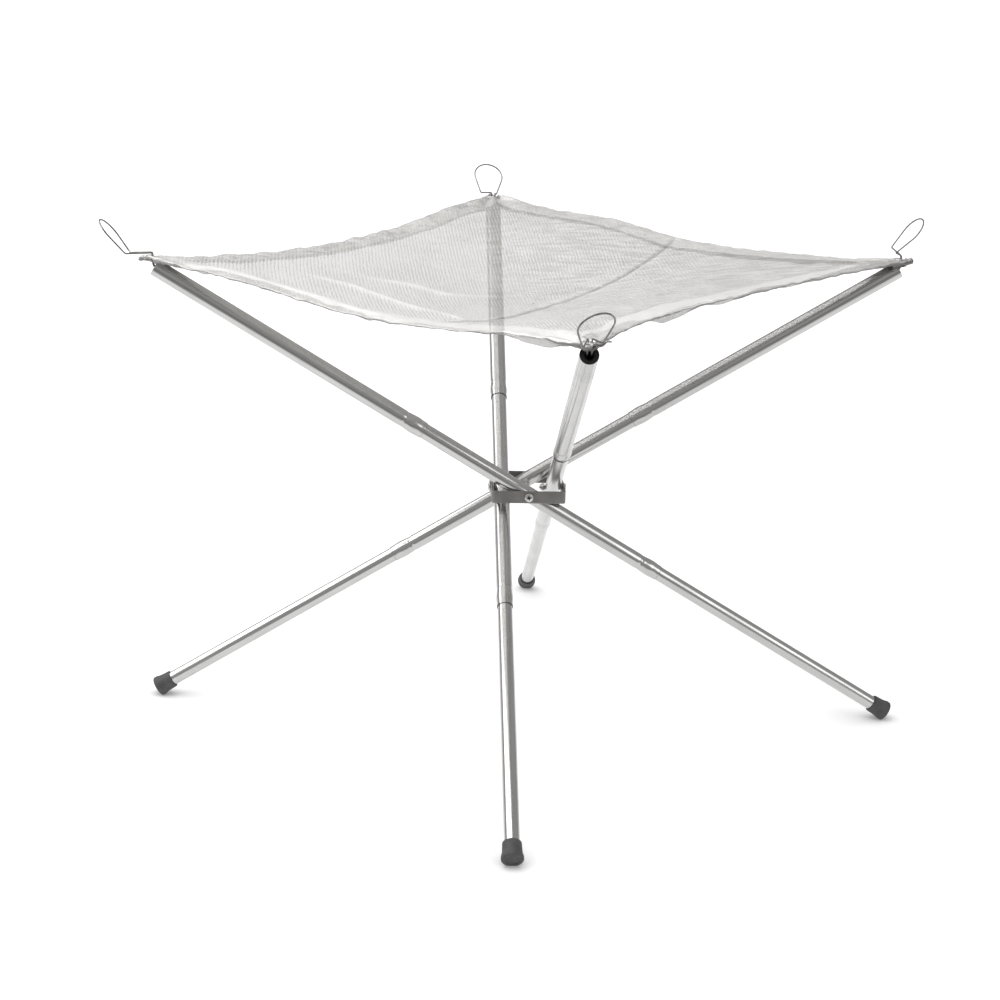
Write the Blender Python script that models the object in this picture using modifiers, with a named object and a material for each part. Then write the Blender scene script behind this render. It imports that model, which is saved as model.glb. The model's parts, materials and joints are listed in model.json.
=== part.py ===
"""Folding mesh fire stand.

Four telescopic poles cross in a square sheet-steel hub, one behind each of its plates. Each pole turns on a
screw, stands on a rubber foot and holds one corner of a woven steel mesh with a sprung wire clip. Each pole
repeats the one before it a quarter turn on. The origin is on the floor under the middle of the whole stand's
box, +Z up; the clips swing out further at one corner than at the opposite one, so the hub is a little aside.
"""

import math

import bmesh
import bpy
from mathutils import Matrix, Vector

MM = 0.001
POLE_NAMES = "abcd"
HUB_PLACE = Vector((12 * MM, 10 * MM, 0))

# Poles: distances run along the pole from its pivot, radii from its own axis.
POLE_RISE = math.radians(31.4)
UPPER_LENGTH = 336 * MM
LOWER_LENGTH = 331 * MM
TOP_TUBE_RADIUS = 6.6 * MM
MIDDLE_TUBE_RADIUS = 6.1 * MM
BOTTOM_TUBE_RADIUS = 5.6 * MM
TUBE_WALL = 0.3 * MM
UPPER_LIP = 97 * MM
LOWER_LIP = -122 * MM
TUBE_OVERLAP = 23 * MM
TUBE_SIDES = 16

# Crimp at the lower end of an outer tube, measured up from its lip.
CRIMP_HEIGHT = 17 * MM
CRIMP_HALF_WIDTH = 1.5 * MM
CRIMP_DEPTH = 0.15 * MM
CRIMP_STEP_IN = 0.1 * MM
SWELL_START = 14 * MM
SWELL_TOP = 11 * MM
SWELL_BOTTOM = 6 * MM
SWELL_HEIGHT = 0.35 * MM
FLARE_LENGTH = 4 * MM
FLARE_HEIGHT = 0.1 * MM

# Hub: a strip bent into a square ring, and the screws that pass through its plates.
HUB_HALF = 28.8 * MM
HUB_HEIGHT = 9.8 * MM
HUB_WALL = 1.4 * MM
HUB_CORNER = 3 * MM
POLE_OFFSET = 20.2 * MM
SCREW_RADIUS = 1.5 * MM
SCREW_CLEARANCE = 0.35 * MM
SCREW_HEAD_RADIUS = 3.4 * MM
SCREW_HEAD_HEIGHT = 2.2 * MM
SCREW_REACH = 10.6 * MM
RECESS_HALF_WIDTH = 0.45 * MM
RECESS_LENGTH = 1.9 * MM
RECESS_DEPTH = 1.2 * MM
WASHER_RADIUS = 3.7 * MM
NUT_ACROSS_FLATS = 5.5 * MM
NUT_HEIGHT = 2.7 * MM
NUT_COLLAR_RADIUS = 2.4 * MM
NUT_COLLAR_HEIGHT = 1.1 * MM
GAP = 0.3 * MM

# Foot cap: rubber, wider towards the floor, with the small flat that its edge is pressed to.
FOOT_MOUTH_RADIUS = 6.8 * MM
FOOT_WAIST_RADIUS = 7.4 * MM
FOOT_END_RADIUS = 8.1 * MM
FOOT_LENGTH = 14.5 * MM
FOOT_SHOULDER = 3 * MM
FOOT_EDGE_IN = 1.5 * MM
FOOT_EDGE_UP = 0.7 * MM
FOOT_BASE = 4 * MM
FOOT_BORE_CLEARANCE = 0.15 * MM
FOOT_FLAT_DEPTH = 0.55 * MM
FOOT_SIDES = 20

# End plug: plastic, just inside the top tube's open end, with the clip's socket through it.
PLUG_LENGTH = 12 * MM
PLUG_RECESS = 0.3 * MM
PLUG_CLEARANCE = 0.15 * MM
PLUG_SOCKET_RADIUS = 2.9 * MM

# Fire mesh: a square sheet hung by its corners. Each edge's drops below the corners' level run evenly from its
# first corner to its last, and its bow is how far its middle is drawn in.
SHEET_CORNER_RADIUS = 299 * MM
SHEET_ABOVE_TIP = 8.6 * MM
SHEET_THICKNESS = 0.5 * MM
SHEET_CELLS = 14
DROPS_FRONT_LEFT = [d * MM for d in (0, 3, 8.5, 13.5, 11.5, 9, 0)]
DROPS_FRONT_RIGHT = [d * MM for d in (0, -3, -3.2, 0, 0.3, 1, 0.6)]
DROPS_BACK_LEFT = [d * MM for d in (0, 8.5, 14, 15, 12.5, 5, 0.6)]
DROPS_BACK_RIGHT = [d * MM for d in (0.6, 4, 4, 10.5, 11, 7, 0.6)]
BOW_FRONT_RIGHT = 20 * MM
BOW_OTHERS = 8 * MM
SAG_BOWL = 12 * MM
SAG_POWER = 1.5

# Eyelet: a flanged ring clenched round a hole near each corner of the mesh.
EYELET_OUT = 1.2 * MM
EYELET_BORE = 3.3 * MM
EYELET_BARREL = 3.9 * MM
EYELET_FLANGE = 5.2 * MM
EYELET_HALF_HEIGHT = 1 * MM
EYELET_LIP = 0.45 * MM
SHEET_HOLE_RADIUS = 4.3 * MM

# Pull clip: one wire, a teardrop loop whose two legs pass the eyelet and end in the plug's socket.
WIRE_RADIUS = 0.65 * MM
PIN_DEPTH = 8 * MM
PIN_SPREAD = 1.45 * MM
CLIP_BASE_SPREAD = 7 * MM
CLIP_LOOP_RADIUS = 12.4 * MM
CLIP_LOOP_LENGTH = 32 * MM
CLIP_ARC_POINTS = 13

# How each clip's loop sits: where its foot is from the pole's top end, as (out, up, side), its turn about the
# vertical, its lean above the level and its roll in its own plane.
CLIP_FEET = [(19.8 * MM, 10 * MM, -0.7 * MM), (20.8 * MM, 11.3 * MM, 0.2 * MM),
             (-5 * MM, 15.1 * MM, 0.6 * MM), (-2.9 * MM, 10.6 * MM, 4.5 * MM)]
CLIP_TURNS = [math.radians(a) for a in (-3, 22, 10, 16)]
CLIP_LEANS = [math.radians(a) for a in (49, 52, 51, 45)]
CLIP_ROLLS = [math.radians(a) for a in (8, 12, 10, 12)]


def clear_scene():
    for obj in list(bpy.data.objects):
        bpy.data.objects.remove(obj, do_unlink=True)


def make_collection(name):
    collection = bpy.data.collections.new(name)
    bpy.context.scene.collection.children.link(collection)
    return collection


def make_material(name, colour, roughness, metallic):
    material = bpy.data.materials.new(name)
    material.use_nodes = True
    shader = material.node_tree.nodes["Principled BSDF"]
    shader.inputs["Base Color"].default_value = (*colour, 1)
    shader.inputs["Roughness"].default_value = roughness
    shader.inputs["Metallic"].default_value = metallic
    return material


def add_object(name, data, collection, material=None, parent=None, smooth=False):
    obj = bpy.data.objects.new(name, data)
    collection.objects.link(obj)
    obj.parent = parent
    if material is not None:
        obj.data.materials.append(material)
    if smooth:
        obj.data.shade_smooth()
        obj.data.set_sharp_from_angle(angle=math.radians(40))
    return obj


def add_cutter(name, mesh, placement):
    """A hidden solid that only cuts holes in its neighbours."""
    cutter = add_object(name, mesh, CUTTERS)
    cutter.matrix_world = placement
    cutter.hide_render = True
    cutter.display_type = "WIRE"
    return cutter


def cut(obj, cutter):
    modifier = obj.modifiers.new("cut", "BOOLEAN")
    modifier.operation = "DIFFERENCE"
    modifier.solver = "EXACT"
    modifier.object = cutter


def add_turned(name, outline, sides, material, parent=None, ring=False):
    """Turns an outline of (radius, height) points about Z: down its outer side, and closed if it is a ring."""
    mesh = bpy.data.meshes.new(name)
    links = [(i, i + 1) for i in range(len(outline) - 1)]
    if ring:
        links.append((len(outline) - 1, 0))
    mesh.from_pydata([(radius, 0, height) for radius, height in outline], links, [])
    obj = add_object(name, mesh, PARTS, material, parent)
    screw = obj.modifiers.new("turn", "SCREW")
    screw.axis = "Z"
    screw.steps = screw.render_steps = sides
    screw.use_merge_vertices = True
    screw.merge_threshold = 0.00001
    screw.use_smooth_shade = True
    return obj


def cylinder_mesh(name, radius, length, sides):
    mesh = bpy.data.meshes.new(name)
    shape = bmesh.new()
    bmesh.ops.create_cone(shape, cap_ends=True, segments=sides, radius1=radius, radius2=radius, depth=length)
    shape.to_mesh(mesh)
    shape.free()
    return mesh


def box_mesh(name, size):
    mesh = bpy.data.meshes.new(name)
    shape = bmesh.new()
    bmesh.ops.create_cube(shape, size=1)
    bmesh.ops.scale(shape, vec=Vector(size), verts=shape.verts)
    shape.to_mesh(mesh)
    shape.free()
    return mesh


# ---------------------------------------------------------------- placement

def foot_outline():
    """The foot cap's section, from the bottom of its bore to the middle of its base."""
    mouth = -LOWER_LENGTH
    end = mouth - FOOT_LENGTH
    bore = BOTTOM_TUBE_RADIUS + FOOT_BORE_CLEARANCE
    return [
        (0, end + FOOT_BASE), (bore, end + FOOT_BASE), (bore, mouth),
        (FOOT_MOUTH_RADIUS, mouth), (FOOT_WAIST_RADIUS, mouth - FOOT_LENGTH / 2),
        (FOOT_END_RADIUS, end + FOOT_SHOULDER), (FOOT_END_RADIUS - FOOT_EDGE_IN / 3, end + FOOT_EDGE_UP),
        (FOOT_END_RADIUS - FOOT_EDGE_IN, end), (0, end),
    ]


def pivot_height():
    """Height at which the lowest edge of the foot cap is pressed flat by its flat's depth."""
    reach = max(radius * math.cos(POLE_RISE) - along * math.sin(POLE_RISE) for radius, along in foot_outline())
    return reach - FOOT_FLAT_DEPTH


PIVOT_HEIGHT = pivot_height()


def quarter_turn(index):
    """From the first pole's place to another's, with the hub's own place."""
    return Matrix.Translation(HUB_PLACE) @ Matrix.Rotation(math.radians(90 * index), 4, "Z")


def pole_frame(index):
    """Pole frame: +Z up the pole, +Y out through the hub plate along the screw, at the pivot."""
    up_pole = Vector((-math.cos(POLE_RISE), 0, math.sin(POLE_RISE)))
    out_plate = Vector((0, -1, 0))
    across = out_plate.cross(up_pole)
    frame = Matrix((across, out_plate, up_pole)).transposed().to_4x4()
    frame.translation = Vector((0, -POLE_OFFSET, PIVOT_HEIGHT))
    return quarter_turn(index) @ frame


def tip_frame(index):
    """Level frame at the centre of a pole's top end: -X outwards, -Y towards the hub plate's side, +Z up."""
    first = Vector((-UPPER_LENGTH * math.cos(POLE_RISE), -POLE_OFFSET,
                    PIVOT_HEIGHT + UPPER_LENGTH * math.sin(POLE_RISE)))
    return quarter_turn(index) @ Matrix.Translation(first)


def screw_placement(along_screw):
    """Inside a pole frame: +Z out of the hub plate, at a distance along the screw's axis."""
    return Matrix.Translation((0, along_screw, 0)) @ Matrix.Rotation(math.radians(-90), 4, "X")


def add_pole_empty(name, index):
    empty = bpy.data.objects.new(f"{name}_frame", None)
    PARTS.objects.link(empty)
    empty.empty_display_size = 10 * MM
    empty.matrix_world = pole_frame(index)
    return empty


# ---------------------------------------------------------------- hub and its fasteners

def add_hub_ring():
    """The square ring: a rounded square outline, cut out in the middle by a smaller one."""
    def rounded_square(name, half, height, corner):
        mesh = box_mesh(name, (2 * half, 2 * half, height))
        shape = bmesh.new()
        shape.from_mesh(mesh)
        uprights = [e for e in shape.edges if abs(e.verts[0].co.z - e.verts[1].co.z) > height / 2]
        bmesh.ops.bevel(shape, geom=uprights, offset=corner, segments=4, profile=0.5, affect="EDGES")
        shape.to_mesh(mesh)
        shape.free()
        return mesh

    level = Matrix.Translation((HUB_PLACE.x, HUB_PLACE.y, PIVOT_HEIGHT))
    ring = add_object("hub_ring", rounded_square("hub_ring", HUB_HALF, HUB_HEIGHT, HUB_CORNER),
                      PARTS, HUB_STEEL)
    ring.matrix_world = level
    core = rounded_square("hub_core", HUB_HALF - HUB_WALL, 2 * HUB_HEIGHT, HUB_CORNER - HUB_WALL)
    cut(ring, add_cutter("hub_core", core, level))
    hole_radius = SCREW_RADIUS + SCREW_CLEARANCE
    for index in range(2):
        drill = cylinder_mesh("hub_drill", hole_radius, 3 * HUB_HALF, 12)
        across = Matrix.Rotation(math.radians(90 * index), 4, "Z") @ Matrix.Rotation(math.radians(90), 4, "X")
        cut(ring, add_cutter(f"hub_drill_{index}", drill, level @ across))


def add_pivot_screw(letter, frame):
    """Pan-head screw with a cross recess, through the plate and the pole."""
    seat = HUB_HALF - POLE_OFFSET + GAP / 2
    top = seat + SCREW_HEAD_HEIGHT
    end = -SCREW_REACH
    outline = [
        (0, top), (SCREW_HEAD_RADIUS * 0.55, top - 0.15 * MM), (SCREW_HEAD_RADIUS * 0.9, top - 0.8 * MM),
        (SCREW_HEAD_RADIUS, seat + 0.4 * MM), (SCREW_HEAD_RADIUS, seat), (SCREW_RADIUS, seat),
        (SCREW_RADIUS, end + 0.5 * MM), (SCREW_RADIUS - 0.4 * MM, end), (0, end),
    ]
    screw = add_turned(f"pivot_screw_{letter}", outline, 12, BRIGHT_STEEL, frame)
    screw.matrix_local = screw_placement(0)
    for turn in range(2):
        size = (2 * RECESS_LENGTH, 2 * RECESS_HALF_WIDTH, 2 * RECESS_DEPTH)
        blade = Matrix.Translation((0, 0, top)) @ Matrix.Rotation(math.radians(90 * turn + 45), 4, "Z")
        place = frame.matrix_world @ screw_placement(0) @ blade
        cut(screw, add_cutter(f"recess_{letter}{turn}", box_mesh("recess", size), place))


def add_spacer_washer(letter, frame):
    """Flat washer that keeps the pole off the hub plate."""
    inner = MIDDLE_TUBE_RADIUS + GAP / 2
    outer = HUB_HALF - HUB_WALL - POLE_OFFSET - GAP / 2
    bore = SCREW_RADIUS + SCREW_CLEARANCE
    outline = [(WASHER_RADIUS, outer), (WASHER_RADIUS, inner), (bore, inner), (bore, outer)]
    washer = add_turned(f"spacer_washer_{letter}", outline, 16, BRIGHT_STEEL, frame, ring=True)
    washer.matrix_local = screw_placement(0)


def add_lock_nut(letter, frame):
    """Hexagon nut with its round locking collar, on the screw's inner end."""
    seat = -MIDDLE_TUBE_RADIUS - GAP
    collar_end = -NUT_HEIGHT - NUT_COLLAR_HEIGHT
    to_corner = 1 / math.cos(math.radians(30))
    bore = (SCREW_RADIUS + GAP / 2) * to_corner
    hex_radius = NUT_ACROSS_FLATS / 2 * to_corner
    outline = [
        (hex_radius, 0), (hex_radius, -NUT_HEIGHT), (NUT_COLLAR_RADIUS, -NUT_HEIGHT),
        (NUT_COLLAR_RADIUS, collar_end), (bore, collar_end), (bore, 0),
    ]
    nut = add_turned(f"lock_nut_{letter}", outline, 6, BRIGHT_STEEL, frame, ring=True)
    nut.modifiers["turn"].use_smooth_shade = False
    nut.matrix_local = screw_placement(seat)


# ---------------------------------------------------------------- poles

def crimped_tube_outline(radius, top, lip):
    """An outer tube's section: plain at the top, crimped and swollen above the lip at its lower end."""
    bore = radius - TUBE_WALL
    crimp = lip + CRIMP_HEIGHT
    outer = [
        (radius, top), (radius, crimp + CRIMP_HALF_WIDTH), (radius - CRIMP_DEPTH, crimp),
        (radius, lip + SWELL_START), (radius + SWELL_HEIGHT, lip + SWELL_TOP),
        (radius + SWELL_HEIGHT, lip + SWELL_BOTTOM), (radius, lip),
    ]
    inner = [
        (bore, lip), (bore, lip + SWELL_START), (bore - CRIMP_STEP_IN, crimp),
        (bore, crimp + CRIMP_HALF_WIDTH), (bore, top),
    ]
    return outer + inner


def flared(outline, bore):
    """Opens out the top of a tube's section, which stops it at the crimp of the tube around it."""
    radius, top = outline[0]
    start = top - FLARE_LENGTH
    wide = radius + FLARE_HEIGHT
    return [(wide, top), (wide, start + FLARE_LENGTH / 2), (radius, start)] + outline[1:-1] + [(bore, top)]


def add_top_tube(letter, frame):
    outline = crimped_tube_outline(TOP_TUBE_RADIUS, UPPER_LENGTH, UPPER_LIP)
    return add_turned(f"top_tube_{letter}", outline, TUBE_SIDES, POLISHED_STEEL, frame, ring=True)


def add_middle_tube(letter, frame):
    bore = MIDDLE_TUBE_RADIUS - TUBE_WALL
    outline = flared(crimped_tube_outline(MIDDLE_TUBE_RADIUS, UPPER_LIP + TUBE_OVERLAP, LOWER_LIP), bore)
    tube = add_turned(f"middle_tube_{letter}", outline, TUBE_SIDES, POLISHED_STEEL, frame, ring=True)
    drill = cylinder_mesh("tube_drill", SCREW_RADIUS + SCREW_CLEARANCE, 4 * MIDDLE_TUBE_RADIUS, 16)
    place = frame.matrix_world @ screw_placement(0)
    cut(tube, add_cutter(f"tube_drill_{letter}", drill, place))
    return tube


def add_bottom_tube(letter, frame):
    bore = BOTTOM_TUBE_RADIUS - TUBE_WALL
    end = -LOWER_LENGTH - FOOT_LENGTH + FOOT_BASE + GAP
    top = LOWER_LIP + TUBE_OVERLAP
    outline = flared([(BOTTOM_TUBE_RADIUS, top), (BOTTOM_TUBE_RADIUS, end), (bore, end), (bore, top)], bore)
    return add_turned(f"bottom_tube_{letter}", outline, TUBE_SIDES, POLISHED_STEEL, frame, ring=True)


def add_foot_cap(letter, frame, index):
    """Rubber cap over the bottom tube's end, with its pressed flat on the floor."""
    cap = add_turned(f"foot_cap_{letter}", foot_outline(), FOOT_SIDES, RUBBER, frame)
    end_point = pole_frame(index) @ Vector((0, 0, -LOWER_LENGTH - FOOT_LENGTH))
    size = 40 * MM
    floor = Matrix.Translation((end_point.x, end_point.y, -size / 2))
    cut(cap, add_cutter(f"floor_{letter}", box_mesh("floor", (size, size, size)), floor))


def add_end_plug(letter, frame):
    outer = TOP_TUBE_RADIUS - TUBE_WALL - PLUG_CLEARANCE
    top = UPPER_LENGTH - PLUG_RECESS
    bottom = top - PLUG_LENGTH
    outline = [(outer, top), (outer, bottom), (PLUG_SOCKET_RADIUS, bottom), (PLUG_SOCKET_RADIUS, top)]
    add_turned(f"end_plug_{letter}", outline, TUBE_SIDES, BLACK_PLASTIC, frame, ring=True)


# ---------------------------------------------------------------- fire mesh

def drop_along(drops, share):
    """A smooth curve through evenly spaced drops, at a share of the edge's length."""
    place = share * (len(drops) - 1)
    index = min(int(place), len(drops) - 2)
    offset = place - index
    ends = [2 * drops[0] - drops[1]] + drops + [2 * drops[-1] - drops[-2]]
    before, first, last, after = ends[index:index + 4]
    bend = (2 * before - 5 * first + 4 * last - after) * offset ** 2
    twist = (3 * first - before - 3 * last + after) * offset ** 3
    return (2 * first + (last - before) * offset + bend + twist) / 2


def sheet_point(s, t):
    """Point on the hung sheet: s runs from the left corner to the front one, t from the left to the back."""
    turn = math.atan2(POLE_OFFSET, UPPER_LENGTH * math.cos(POLE_RISE))
    side = SHEET_CORNER_RADIUS * math.sqrt(2)
    bulge_s = max(math.sin(math.pi * s), 0)
    bulge_t = max(math.sin(math.pi * t), 0)
    along = (s - 0.5) * side + bulge_t * (BOW_OTHERS * (1 - s) - BOW_FRONT_RIGHT * s)
    across = (t - 0.5) * side + bulge_s * BOW_OTHERS * (1 - 2 * t)
    level = Matrix.Rotation(turn - math.radians(45), 2) @ Vector((along, across))

    corners = ((1 - s) * (1 - t) * DROPS_FRONT_LEFT[0] + s * (1 - t) * DROPS_FRONT_RIGHT[0]
               + s * t * DROPS_FRONT_RIGHT[-1] + (1 - s) * t * DROPS_BACK_LEFT[-1])
    drop = ((1 - t) * drop_along(DROPS_FRONT_LEFT, s) + t * drop_along(DROPS_BACK_RIGHT, s)
            + (1 - s) * drop_along(DROPS_BACK_LEFT, t) + s * drop_along(DROPS_FRONT_RIGHT, t) - corners)
    top = PIVOT_HEIGHT + UPPER_LENGTH * math.sin(POLE_RISE) + SHEET_ABOVE_TIP
    height = top - drop - SAG_BOWL * (bulge_s * bulge_t) ** SAG_POWER
    return Vector((HUB_PLACE.x + level.x, HUB_PLACE.y + level.y, height))


def sheet_corner(index):
    """The sheet's corner over a pole, as (s, t): left, front, right and back."""
    return [(0, 0), (1, 0), (1, 1), (0, 1)][index]


def eyelet_frame(index):
    """Frame on the sheet's corner facet over a pole's end, with +Z along the facet's upper normal."""
    target = tip_frame(index) @ Vector((-EYELET_OUT, 0, 0))
    s, t = sheet_corner(index)
    step_s = (1 - 2 * s) / SHEET_CELLS
    step_t = (1 - 2 * t) / SHEET_CELLS
    corner = sheet_point(s, t)
    normal = (sheet_point(s + step_s, t) - corner).cross(sheet_point(s, t + step_t) - corner).normalized()
    if normal.z < 0:
        normal.negate()
    offset = target - corner
    height = corner.z - (normal.x * offset.x + normal.y * offset.y) / normal.z
    frame = normal.to_track_quat("Z", "Y").to_matrix().to_4x4()
    frame.translation = Vector((target.x, target.y, height))
    return frame


def add_fire_mesh(eyelet_frames):
    """The woven sheet as one thin sagging solid, with a hole for each eyelet."""
    mesh = bpy.data.meshes.new("fire_mesh")
    shape = bmesh.new()
    bmesh.ops.create_grid(shape, x_segments=SHEET_CELLS, y_segments=SHEET_CELLS, size=0.5)
    for vertex in shape.verts:
        vertex.co = sheet_point(vertex.co.x + 0.5, vertex.co.y + 0.5)
    shape.to_mesh(mesh)
    shape.free()
    sheet = add_object("fire_mesh", mesh, PARTS, WOVEN_STEEL, smooth=True)
    thicken = sheet.modifiers.new("thickness", "SOLIDIFY")
    thicken.thickness = SHEET_THICKNESS
    thicken.offset = 0
    for letter, frame in zip(POLE_NAMES, eyelet_frames):
        punch = cylinder_mesh("punch", SHEET_HOLE_RADIUS, 20 * SHEET_THICKNESS, 16)
        cut(sheet, add_cutter(f"punch_{letter}", punch, frame))


def add_eyelet(letter, frame):
    half = EYELET_HALF_HEIGHT
    inside = half - EYELET_LIP
    outline = [
        (EYELET_FLANGE, half), (EYELET_FLANGE, inside), (EYELET_BARREL, inside), (EYELET_BARREL, -inside),
        (EYELET_FLANGE, -inside), (EYELET_FLANGE, -half), (EYELET_BORE, -half), (EYELET_BORE, half),
    ]
    eyelet = add_turned(f"eyelet_{letter}", outline, 16, BRIGHT_STEEL, ring=True)
    eyelet.matrix_world = frame


# ---------------------------------------------------------------- pull clips

def clip_path(index):
    """A clip's wire as (out, up, side) from the pole's top end: one pin, and each half of the loop."""
    pin = [
        (-PIN_DEPTH * math.cos(POLE_RISE), -PIN_DEPTH * math.sin(POLE_RISE), PIN_SPREAD),
        (-0.3 * MM, -0.2 * MM, PIN_SPREAD),
        (EYELET_OUT - 0.3 * MM, 2.2 * MM, PIN_SPREAD),
        (EYELET_OUT, SHEET_ABOVE_TIP - 1.5 * MM, PIN_SPREAD),
        (EYELET_OUT, SHEET_ABOVE_TIP + 2.4 * MM, PIN_SPREAD),
    ]
    centre = CLIP_LOOP_LENGTH - CLIP_LOOP_RADIUS
    start = math.acos(CLIP_LOOP_RADIUS / math.hypot(CLIP_BASE_SPREAD, centre))
    start = math.atan2(-centre, CLIP_BASE_SPREAD) + start
    loop = [(CLIP_BASE_SPREAD - 0.6 * MM, 0.0), (CLIP_BASE_SPREAD + 0.4 * MM, 1.4 * MM)]
    for i in range(CLIP_ARC_POINTS):
        angle = start + (math.pi / 2 - start) * i / (CLIP_ARC_POINTS - 1)
        loop.append((CLIP_LOOP_RADIUS * math.cos(angle), centre + CLIP_LOOP_RADIUS * math.sin(angle)))
    return pin, [[place_on_clip(index, side * across, along) for across, along in loop] for side in (1, -1)]


def place_on_clip(index, across, along):
    """From a point in the plane of the clip's loop to (out, up, side) from the pole's top end."""
    foot_out, foot_up, foot_side = CLIP_FEET[index]
    roll, turn, lean = CLIP_ROLLS[index], CLIP_TURNS[index], CLIP_LEANS[index]
    rolled_across = across * math.cos(roll) - along * math.sin(roll)
    rolled_along = across * math.sin(roll) + along * math.cos(roll)
    out = rolled_along * math.cos(lean)
    return (foot_out + out * math.cos(turn) - rolled_across * math.sin(turn),
            foot_up + rolled_along * math.sin(lean),
            foot_side + out * math.sin(turn) + rolled_across * math.cos(turn))


def add_pull_clip(letter, index):
    """The clip's wire, from one pin end up its leg, round the loop and back down the other leg."""
    pin, (near_half, far_half) = clip_path(index)
    far_pin = [(out, up, -side) for out, up, side in pin]
    route = pin + near_half + far_half[-2::-1] + far_pin[::-1]
    curve = bpy.data.curves.new(f"pull_clip_{letter}", "CURVE")
    curve.dimensions = "3D"
    curve.bevel_depth = WIRE_RADIUS
    curve.bevel_resolution = 1
    curve.use_fill_caps = True
    wire = curve.splines.new("POLY")
    wire.points.add(len(route) - 1)
    for point, (out, up, side) in zip(wire.points, route):
        point.co = (-out, -side, up, 1)
    clip = add_object(f"pull_clip_{letter}", curve, PARTS, BRIGHT_STEEL)
    clip.matrix_world = tip_frame(index)


# ---------------------------------------------------------------- assembly

def build():
    add_hub_ring()
    eyelet_frames = []
    for index, letter in enumerate(POLE_NAMES):
        frame = add_pole_empty(f"pole_{letter}", index)
        bpy.context.view_layer.update()
        add_pivot_screw(letter, frame)
        add_spacer_washer(letter, frame)
        add_lock_nut(letter, frame)
        add_top_tube(letter, frame)
        add_middle_tube(letter, frame)
        add_bottom_tube(letter, frame)
        add_foot_cap(letter, frame, index)
        add_end_plug(letter, frame)
        eyelet_frames.append(eyelet_frame(index))
        add_eyelet(letter, eyelet_frames[-1])
        add_pull_clip(letter, index)
    add_fire_mesh(eyelet_frames)


clear_scene()
PARTS = make_collection("mesh_fire_stand")
CUTTERS = make_collection("cutters")
HUB_STEEL = make_material("hub_steel", (0.20, 0.19, 0.185), 0.5, 0.8)
BRIGHT_STEEL = make_material("bright_steel", (0.56, 0.56, 0.55), 0.3, 1.0)
POLISHED_STEEL = make_material("polished_steel", (0.62, 0.62, 0.61), 0.2, 1.0)
WOVEN_STEEL = make_material("woven_steel", (0.72, 0.72, 0.70), 0.45, 0.9)
RUBBER = make_material("rubber", (0.07, 0.07, 0.072), 0.85, 0.0)
BLACK_PLASTIC = make_material("black_plastic", (0.015, 0.015, 0.015), 0.5, 0.0)
build()
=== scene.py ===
"""Looks of the folding mesh fire stand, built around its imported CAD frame."""

import json
import math
from functools import partialmethod

import bmesh
import bpy
import numpy as np
from mathutils import Matrix, Vector, noise


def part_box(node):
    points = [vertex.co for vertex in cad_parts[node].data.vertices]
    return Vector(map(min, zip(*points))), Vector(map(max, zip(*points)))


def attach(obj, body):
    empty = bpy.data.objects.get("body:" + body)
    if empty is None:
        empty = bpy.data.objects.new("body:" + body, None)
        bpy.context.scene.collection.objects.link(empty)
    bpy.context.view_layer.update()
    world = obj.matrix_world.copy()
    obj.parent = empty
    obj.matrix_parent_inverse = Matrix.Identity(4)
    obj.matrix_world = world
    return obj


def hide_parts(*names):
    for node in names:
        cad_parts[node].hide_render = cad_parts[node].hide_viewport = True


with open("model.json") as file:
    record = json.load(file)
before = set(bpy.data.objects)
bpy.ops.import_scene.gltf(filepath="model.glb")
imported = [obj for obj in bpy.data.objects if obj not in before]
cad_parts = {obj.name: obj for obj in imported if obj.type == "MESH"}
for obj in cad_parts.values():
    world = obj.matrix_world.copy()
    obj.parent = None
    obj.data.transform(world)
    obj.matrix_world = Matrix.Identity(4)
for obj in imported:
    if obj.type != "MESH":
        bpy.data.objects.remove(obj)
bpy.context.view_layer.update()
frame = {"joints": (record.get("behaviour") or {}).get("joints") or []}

MM = 0.001
POLE_NAMES = "abcd"


def in_mm(*points):
    return [tuple(value * MM for value in point) for point in points]


# -------- the stand's dimensions

UPPER_LENGTH = 336 * MM
LOWER_LENGTH = 331 * MM
TOP_RADIUS = 6.6 * MM
MIDDLE_RADIUS = 6.1 * MM
BOTTOM_RADIUS = 5.6 * MM
TUBE_WALL = 0.35 * MM
UPPER_LIP = 97 * MM
LOWER_LIP = -122 * MM
TUBE_OVERLAP = 23 * MM
TUBE_SIDES, CAP_SIDES, NUT_SIDES, SMALL_SIDES, DRILL_SIDES = 64, 56, 48, 40, 32

CRIMP_ABOVE_LIP = 17 * MM
CRIMP_DEPTH = 0.3 * MM
CRIMP_HALF_WIDTH = 1.3 * MM
SWELL_ABOVE_LIP = 8.3 * MM
SWELL_HALF_WIDTH = 5.6 * MM
SWELL_HEIGHT = 0.38 * MM
FLARE_HEIGHT = 0.1 * MM
FLARE_LENGTH = 4 * MM
LIP_ROUND = 0.5 * MM
# How far above a tube's lip its faces are painted near-black: painted shade at the joint, wider on pole b.
LIP_PAINTED_SHADE = 0.3 * MM
FRONT_LIP_PAINTED_SHADE = 4 * MM

HUB_HALF = 28.8 * MM
HUB_HEIGHT = 9.8 * MM
HUB_WALL = 1.4 * MM
HUB_CORNER = 3 * MM
HUB_BEVEL = 0.35 * MM
POLE_OFFSET = 20.2 * MM
SCREW_RADIUS = 1.5 * MM
HOLE_RADIUS = 1.85 * MM
HEAD_RADIUS = 3.4 * MM
HEAD_HEIGHT = 2.2 * MM
HEAD_DOME = 1.15 * MM
RECESS_HALF_WIDTH = 0.55 * MM
THREAD_DEPTH = 0.14 * MM
SCREW_REACH = 10.6 * MM
WASHER_RADIUS = 3.7 * MM
NUT_ACROSS_FLATS = 5.5 * MM
NUT_HEIGHT = 2.7 * MM
COLLAR_RADIUS = 2.4 * MM
COLLAR_HEIGHT = 1.1 * MM
GAP = 0.3 * MM

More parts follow.
